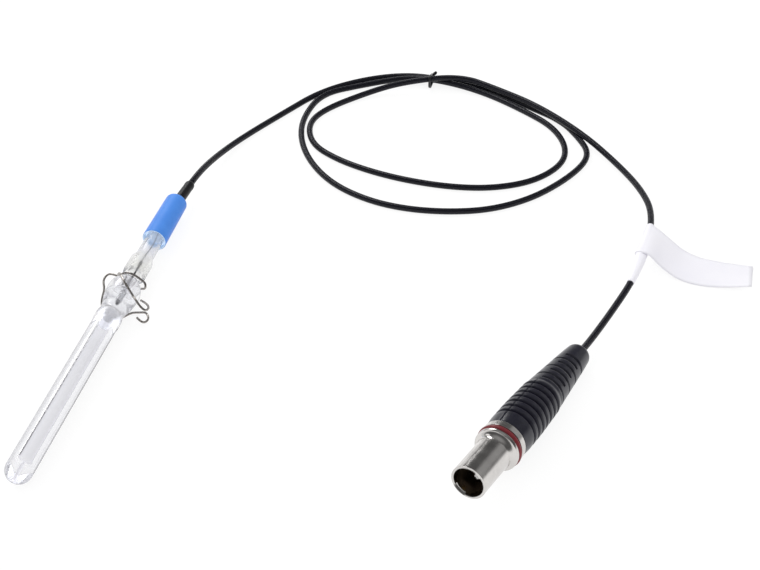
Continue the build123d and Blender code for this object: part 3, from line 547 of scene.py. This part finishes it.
film_white = stuff("label_film", Roughness=0.4)
film_cloud = grain(film_white, 60.0, 3.0)
feed(film_white, Base_Color=ramp(film_white, film_cloud, (0.3, (0.93, 0.92, 0.985)), (0.7, (0.96, 0.95, 1.0))))
tag = dress(film("cable_tag_film", tag_far, tag_near, film_thick), film_white, "white_film", "cable_tag")
tag_wrap = dress(sheath("cable_tag_wrap", far_y=134.4, near_y=111.4, far_half=1.9, near_half=3.1, high=2.0),
                 film_white, "white_film")
strip = dress(sheath("tag_strip_film", far_y=113.2, near_y=89.8, far_half=2.9, near_half=1.8, high=wrap_r),
              film_white, "white_film", "tag_strip")

# Plug shell: turned and plated brass. Its hollow front has a key and a notch, a cove leads up to its flange, and
# a second flange stands behind the groove of the ring. Its angles run from the top of the plug to the right.
plug_turns = 240
plug_theta = np.degrees(np.linspace(0, 2 * np.pi, plug_turns, endpoint=False))[None, :]


def patch(middle, half, edge=1.5):
    """1 within half degrees of the middle angle and 0 outside, over an edge in degrees."""
    off = np.abs((plug_theta - middle + 180) % 360 - 180)
    return np.clip((half - off) / edge + 0.5, 0, 1)


shell_r, shell_bore_r, hollow_s, flange_s, flange_r, spigot_r = 7.8, 6.75, 17.0, 23.5, 9.9, 6.0
groove_s, groove_end_s, groove_r, grip_s, spigot_s, core_r = 25.1, 27.9, 7.9, 31.0, 39.0, 4.0
key_s, key_high, key_angle, key_half = 2.5, 1.5, 35, 10.6
notch_deep, notch_angle, notch_half, lip_r, lip_step = 1.4, 213, 24.3, 7.5, 0.06
cove_s, cove_t = 20.6, np.radians(np.linspace(0, 80, 22))
shell_front = soften([(0, shell_bore_r), (0, lip_r - lip_step), (0, lip_r), (0, shell_r), (hollow_s, shell_r)],
                     [0.001, 0.001, 0.16])
shell_rings = np.array([(1.5, shell_r), (2.5, shell_r)])
shell_cove = np.c_[cove_s + (flange_s - cove_s) * np.sin(cove_t) / np.sin(cove_t[-1]),
                   shell_r + (flange_r - shell_r) * (1 - np.cos(cove_t)) / (1 - np.cos(cove_t[-1]))]
shell_back = soften([(flange_s, flange_r), (groove_s, flange_r), (groove_s, groove_r), (groove_end_s, groove_r),
                     (groove_end_s, flange_r), (grip_s, flange_r), (grip_s, spigot_r), (spigot_s, spigot_r),
                     (spigot_s, core_r), (hollow_s, core_r)], [0.2, 0.1, 0.1, 0.2, 0.3, 0.1, 0.1, 0.1])
shell_inner_s = np.array([hollow_s, 8.0, key_s + lip_step, key_s, notch_deep + 0.02, 0.12, 0])
shell_inner = np.c_[shell_inner_s, np.full(len(shell_inner_s), shell_bore_r)]
shell_profile = np.concatenate([shell_front[:-1], shell_rings, shell_cove, shell_back[1:], shell_inner])
shell_grid = np.repeat(shell_profile[:, None], plug_turns, 1)
# Painted shade: the inside wall of the hollow is marked to take a dark bronze tone, standing for the shade in the
# hollow.
shell_hollow_shade = np.zeros(len(shell_profile))
shell_hollow_shade[-len(shell_inner):-2] = 1
shell_row = np.arange(len(shell_profile))
shell_keyed = (shell_row >= len(shell_profile) - 4) | (shell_row == 0)
shell_grid[..., 1] -= key_high * shell_keyed[:, None] * patch(key_angle, key_half)
shell_rim = (shell_grid[..., 0] < notch_deep) & (shell_profile[:, 1:] < lip_r - lip_step / 2)
shell_notched = np.maximum(shell_grid[..., 0], notch_deep * patch(notch_angle, notch_half))
shell_grid[..., 0] = np.where(shell_rim, shell_notched, shell_grid[..., 0])
nickel = stuff("plug_nickel", Metallic=1.0)
nickel_turned = grain(nickel, 160.0, 4.0)
# The inside mark paints the hollow's wall dark bronze as painted shade.
nickel_hollow_shade = knot(nickel, "Attribute", attribute_name="inside").outputs["Fac"]
nickel_tone = ramp(nickel, nickel_turned, (0.3, (0.58, 0.56, 0.545)), (0.7, (0.69, 0.67, 0.65)))
nickel_fine = grain(nickel, 2600.0)
feed(nickel, Base_Color=blend(nickel, nickel_hollow_shade, nickel_tone, (0.32, 0.28, 0.23, 1)),
     Roughness=ramp(nickel, nickel_turned, (0.3, 0.16), (0.7, 0.24)),
     Normal=relief(nickel, nickel_fine, 0.2, 0.00005))
shell = dress(lathe("plug_shell_plated", shell_grid, plug_turns, plug_rim, plug_dir, plug_up,
                    {"inside": shell_hollow_shade}), nickel, "nickel", "plug_shell")

# Plug ring: a moulded ring of red rubber with a round section. It is stretched over the flange and sits in the
# groove of the shell.
ring_r, ring_s = 1.2, (groove_s + groove_end_s) / 2
ring_t = np.linspace(0, 2 * np.pi, 33)
ring_profile = np.c_[ring_s - ring_r * np.cos(ring_t), groove_r + ring_r + ring_r * np.sin(ring_t)]
ring_red = stuff("ring_rubber", Roughness=0.42)
feed(ring_red, Base_Color=ramp(ring_red, grain(ring_red, 700.0), (0.3, (0.16, 0.006, 0.012)),
                               (0.7, (0.21, 0.009, 0.016))))
ring = dress(lathe("plug_ring_rubber", ring_profile, 160, plug_rim, plug_dir, plug_up), ring_red, "red_rubber",
             "plug_ring")

# Plug insulator and pin: a disc of plastic with a boss, pressed into the shell and painted dark brown as painted
# shade of the hollow, and a gilt centre contact that is recessed in it. Both are left as the CAD solids.
# Painted shade: the insulator is given a dark brown, standing for the shade deep in the shell.
insulator_painted_shade = stuff("insulator_painted_shade", Roughness=0.5)
feed(insulator_painted_shade, Base_Color=ramp(insulator_painted_shade, grain(insulator_painted_shade, 300.0), (0.3, (0.1, 0.078, 0.06)),
                                     (0.7, (0.14, 0.11, 0.085))))
insulator = dress(cad["plug_insulator"], insulator_painted_shade, "white_plastic")
pin_gilt = stuff("pin_gilt", Metallic=1.0, Roughness=0.3)
feed(pin_gilt, Base_Color=ramp(pin_gilt, grain(pin_gilt, 900.0), (0.3, (0.5, 0.36, 0.16)), (0.7, (0.7, 0.52, 0.25))))
pin = dress(cad["plug_pin"], pin_gilt, "gilt")

# Plug grip: black moulded rubber. A smooth collar, round ribs, a plain band and a tapered tail that is slotted
# from both sides in turn. A parting line of the mould runs along its upper left.
collar_s, broad_s, band_s, band_end_s, tail_s, tail_end_s = 36.0, 47.6, 65.8, 67.4, 96.3, plug_length - 1.8
grip_edge_r, grip_front_r, broad_r, band_r, tail_r, tail_end_r, tail_tip_r = 9.4, 9.67, 10.1, 8.85, 6.2, 5.5, 3.4
rib_first, rib_pitch, rib_count, rib_wide, rib_deep = 39.1, 3.87, 7, 2.3, 1.05
slot_first, slot_pitch, slot_count, slot_half, slot_r = 68.5, 3.7, 7, 0.7, 4.4
slot_side, slot_sweep, seam_deep, seam_angle, seam_half, grip_gap = 111, 124, 0.35, -19, 1.5, 0.02
grip_outline = soften([(grip_s, grip_edge_r), (grip_s + 0.1, grip_front_r), (collar_s, broad_r), (broad_s, broad_r),
                       (ribs_s, ribs_r), (band_s, band_r), (band_end_s, band_r), (tail_s, tail_r),
                       (tail_end_s, tail_end_r), (plug_length, tail_tip_r)], [0.3, 1.0, 3.0, 0.6, 0.5, 0.6, 3.0, 1.5])
slot_mid = slot_first + slot_pitch * np.arange(slot_count)
slot_rows = (slot_mid[:, None] + slot_half * np.array([-1.0, -0.9, 0.9, 1.0])).ravel()
grip_run = np.unique(np.r_[np.linspace(grip_s + grip_gap, collar_s, 16), np.arange(collar_s, ribs_s, 0.18),
                           np.linspace(ribs_s, band_end_s, 14), slot_rows, np.arange(band_end_s, tail_s, 0.5),
                           np.linspace(tail_s, plug_length, 24)])[:, None]
grip_r = np.interp(grip_run, grip_outline[:, 0], grip_outline[:, 1])
rib_off = np.abs(grip_run - rib_first - rib_pitch * np.arange(rib_count)).min(1, keepdims=True)
rib_share = np.where(rib_off < rib_wide / 2, np.cos(np.pi * rib_off / rib_wide) ** 2, 0)
grip_r = grip_r - rib_deep * rib_share
grip_r = grip_r - seam_deep * patch(seam_angle, seam_half) * (grip_run < band_s)
slot_near = np.abs(grip_run - slot_mid)
slot_even = slot_near.argmin(1)[:, None] % 2 == 0
slot_open = np.where(slot_even, patch(slot_side, slot_sweep), patch(slot_side + 180, slot_sweep))
slot_cut = slot_open * (slot_near.min(1, keepdims=True) < 0.95 * slot_half)
grip_r = grip_r - slot_cut * (grip_r - slot_r)
grip_grid = np.stack([np.broadcast_to(grip_run, grip_r.shape), grip_r], 2)
grip_face = np.stack([np.full((1, plug_turns), grip_s + grip_gap), np.full((1, plug_turns), spigot_r)], 2)
grip_tip = np.stack([np.full((1, plug_turns), plug_length), np.zeros((1, plug_turns))], 2)
grip_groove = np.pad(np.maximum(rib_share, slot_cut), ((1, 1), (0, 0)))
grip_black = stuff("grip_rubber", Roughness=0.29)
# Painted shade: the grooves of the ribs and the slots are given much less shine than the crests, standing for the
# shade in them.
grip_groove_shade = knot(grip_black, "Attribute", attribute_name="groove").outputs["Fac"]
grip_grain = grain(grip_black, 1400.0, 3.0)
feed(grip_black, Base_Color=ramp(grip_black, grip_grain, (0.3, (0.008, 0.008, 0.015)), (0.7, (0.016, 0.016, 0.028))),
     Specular_IOR_Level=ramp(grip_black, grip_groove_shade, (0.1, 0.55), (0.8, 0.05)),
     Normal=relief(grip_black, grip_grain, 0.15, 0.0001))
grip_grid = np.concatenate([grip_face, grip_grid, grip_tip])
grip = dress(lathe("plug_grip_rubber", grip_grid, plug_turns, plug_rim, plug_dir, plug_up, {"groove": grip_groove}),
             grip_black, "black_rubber", "plug_grip")

# Table, light and camera: a plain white table under an even white sky, one broad soft lamp at the back left, a grey
# card on the right and a bright one on the left for the metal to show, and the camera looking down on the table.
table_half, table_share, table_glow = 3000, 0.8, 1.09
floor = skin("table", np.array([[(-table_half, table_half, table_z), (table_half, table_half, table_z)],
                                [(-table_half, -table_half, table_z), (table_half, -table_half, table_z)]], float),
             wrap=False)
table_white = stuff("table_white", Base_Color=(0.9, 0.9, 0.9, 1), Roughness=1.0, Specular_IOR_Level=0.0)
rays = knot(table_white, "LightPath").outputs
seen = knot(table_white, "Math", {0: rays["Is Camera Ray"], 1: rays["Is Glossy Ray"]}, operation="ADD")
seen = knot(table_white, "Math", {0: seen.outputs[0], 1: rays["Is Transmission Ray"]}, operation="ADD",
            use_clamp=True)
share = knot(table_white, "Math", {0: seen.outputs[0], 1: table_share}, operation="MULTIPLY")
glow = knot(table_white, "Emission", {"Color": (1, 1, 1, 1), "Strength": table_glow})
table_knots = table_white.node_tree.nodes
mixed = knot(table_white, "MixShader", {0: share.outputs[0], 1: table_knots["Principled BSDF"].outputs[0],
                                        2: glow.outputs[0]})
table_white.node_tree.links.new(mixed.outputs[0], table_knots["Material Output"].inputs["Surface"])
floor.data.materials.append(table_white)


def card(name, middle, wide, high, tone):
    """Upright card, in metres, that faces the object and gives an even tone. Only reflections show it. Its corners
    are its middle plus and minus half its width along the plan's tangent and half its height upwards."""
    middle = np.array(middle, float) * 1000
    side = np.array([middle[1], -middle[0], 0]) / np.hypot(middle[0], middle[1]) * wide * 500
    rise = np.array([0, 0, high * 500])
    made = skin(name, np.array([[middle - side - rise, middle + side - rise],
                                [middle - side + rise, middle + side + rise]]), wrap=False)
    shade = stuff(name + "_tone", Base_Color=(0, 0, 0, 1), Specular_IOR_Level=0.0, Emission_Color=(1, 1, 1, 1),
                  Emission_Strength=tone)
    made.data.materials.append(shade)
    made.visible_camera, made.visible_diffuse, made.visible_shadow = False, False, False
    made.visible_transmission = False


card("card_right", middle=(1.1, 1.0, 0.6), wide=1.0, high=1.2, tone=0.35)
card("card_left", middle=(-1.0, 0.27, 0.63), wide=0.55, high=0.55, tone=1.4)

world = bpy.data.worlds.new("studio")
bpy.context.scene.world = world
world.use_nodes = True
sky = world.node_tree
sky_rays = sky.nodes.new("ShaderNodeLightPath")
sky_way = sky.nodes.new("ShaderNodeTexCoord")
sky_parts = sky.nodes.new("ShaderNodeSeparateXYZ")
sky.links.new(sky_way.outputs["Generated"], sky_parts.inputs[0])
sky_shown = sky.nodes["Background"]
sky_shown.inputs["Color"].default_value = (1, 1, 1, 1)
for ray, tones in (("Is Diffuse Ray", ((0.0, 0.85), (1.0, 0.85))),
                   ("Is Transmission Ray", ((0.0, 1.0), (0.2, 0.97), (0.45, 0.74), (0.7, 0.76), (1.0, 0.9))),
                   ("Is Glossy Ray", ((0.04, 1.0), (0.16, 0.3), (0.26, 0.09), (0.7, 0.09), (1.0, 0.3)))):
    sky_steps = sky.nodes.new("ShaderNodeValToRGB")
    sky.links.new(sky_parts.outputs["Z"], sky_steps.inputs["Fac"])
    for place, tone in tones[1:-1]:
        sky_steps.color_ramp.elements.new(place)
    for step, (place, tone) in zip(sky_steps.color_ramp.elements, tones):
        step.position, step.color = place, (tone, tone, tone, 1)
    sky_back = sky.nodes.new("ShaderNodeBackground")
    sky.links.new(sky_steps.outputs["Color"], sky_back.inputs["Color"])
    sky_mix = sky.nodes.new("ShaderNodeMixShader")
    sky.links.new(sky_rays.outputs[ray], sky_mix.inputs[0])
    sky.links.new(sky_shown.outputs[0], sky_mix.inputs[1])
    sky.links.new(sky_back.outputs[0], sky_mix.inputs[2])
    sky_shown = sky_mix
sky.links.new(sky_shown.outputs[0], sky.nodes["World Output"].inputs["Surface"])



def look(place, target):
    """Turn that makes a lamp or a camera at place look at target: its pitch is the rise of the line of sight over
    its length in plan, and its heading is the line's own in plan."""
    aim = np.array(target) - np.array(place)
    return np.pi / 2 + np.arctan2(aim[2], np.hypot(aim[0], aim[1])), 0, np.arctan2(-aim[0], aim[1])


lamp_data = bpy.data.lights.new("soft_lamp", "AREA")
lamp_data.shape, lamp_data.size, lamp_data.size_y, lamp_data.energy = "RECTANGLE", 0.5, 0.35, 4.0
lamp = bpy.data.objects.new("soft_lamp", lamp_data)
lamp.location = (-0.45, 0.75, 0.6)
lamp.rotation_euler = look(lamp.location, (0.1, 0.05, 0.0))
lamp.visible_transmission = False
bpy.context.scene.collection.objects.link(lamp)

camera_data = bpy.data.cameras.new("camera")
camera_data.lens, camera_data.sensor_width, camera_data.sensor_fit = 73.31, 36.0, "HORIZONTAL"
camera = bpy.data.objects.new("camera", camera_data)
camera.location = (0.2494, -0.4777, 0.4636)
camera.rotation_euler = look(camera.location, (0.1116, 0.0670, -0.0079))
bpy.context.scene.collection.objects.link(camera)
bpy.context.scene.camera = camera
bpy.context.scene.view_settings.view_transform = "Standard"
cycles, bounces = bpy.context.scene.cycles, 128
cycles.max_bounces, cycles.transmission_bounces, cycles.glossy_bounces = bounces, bounces, bounces
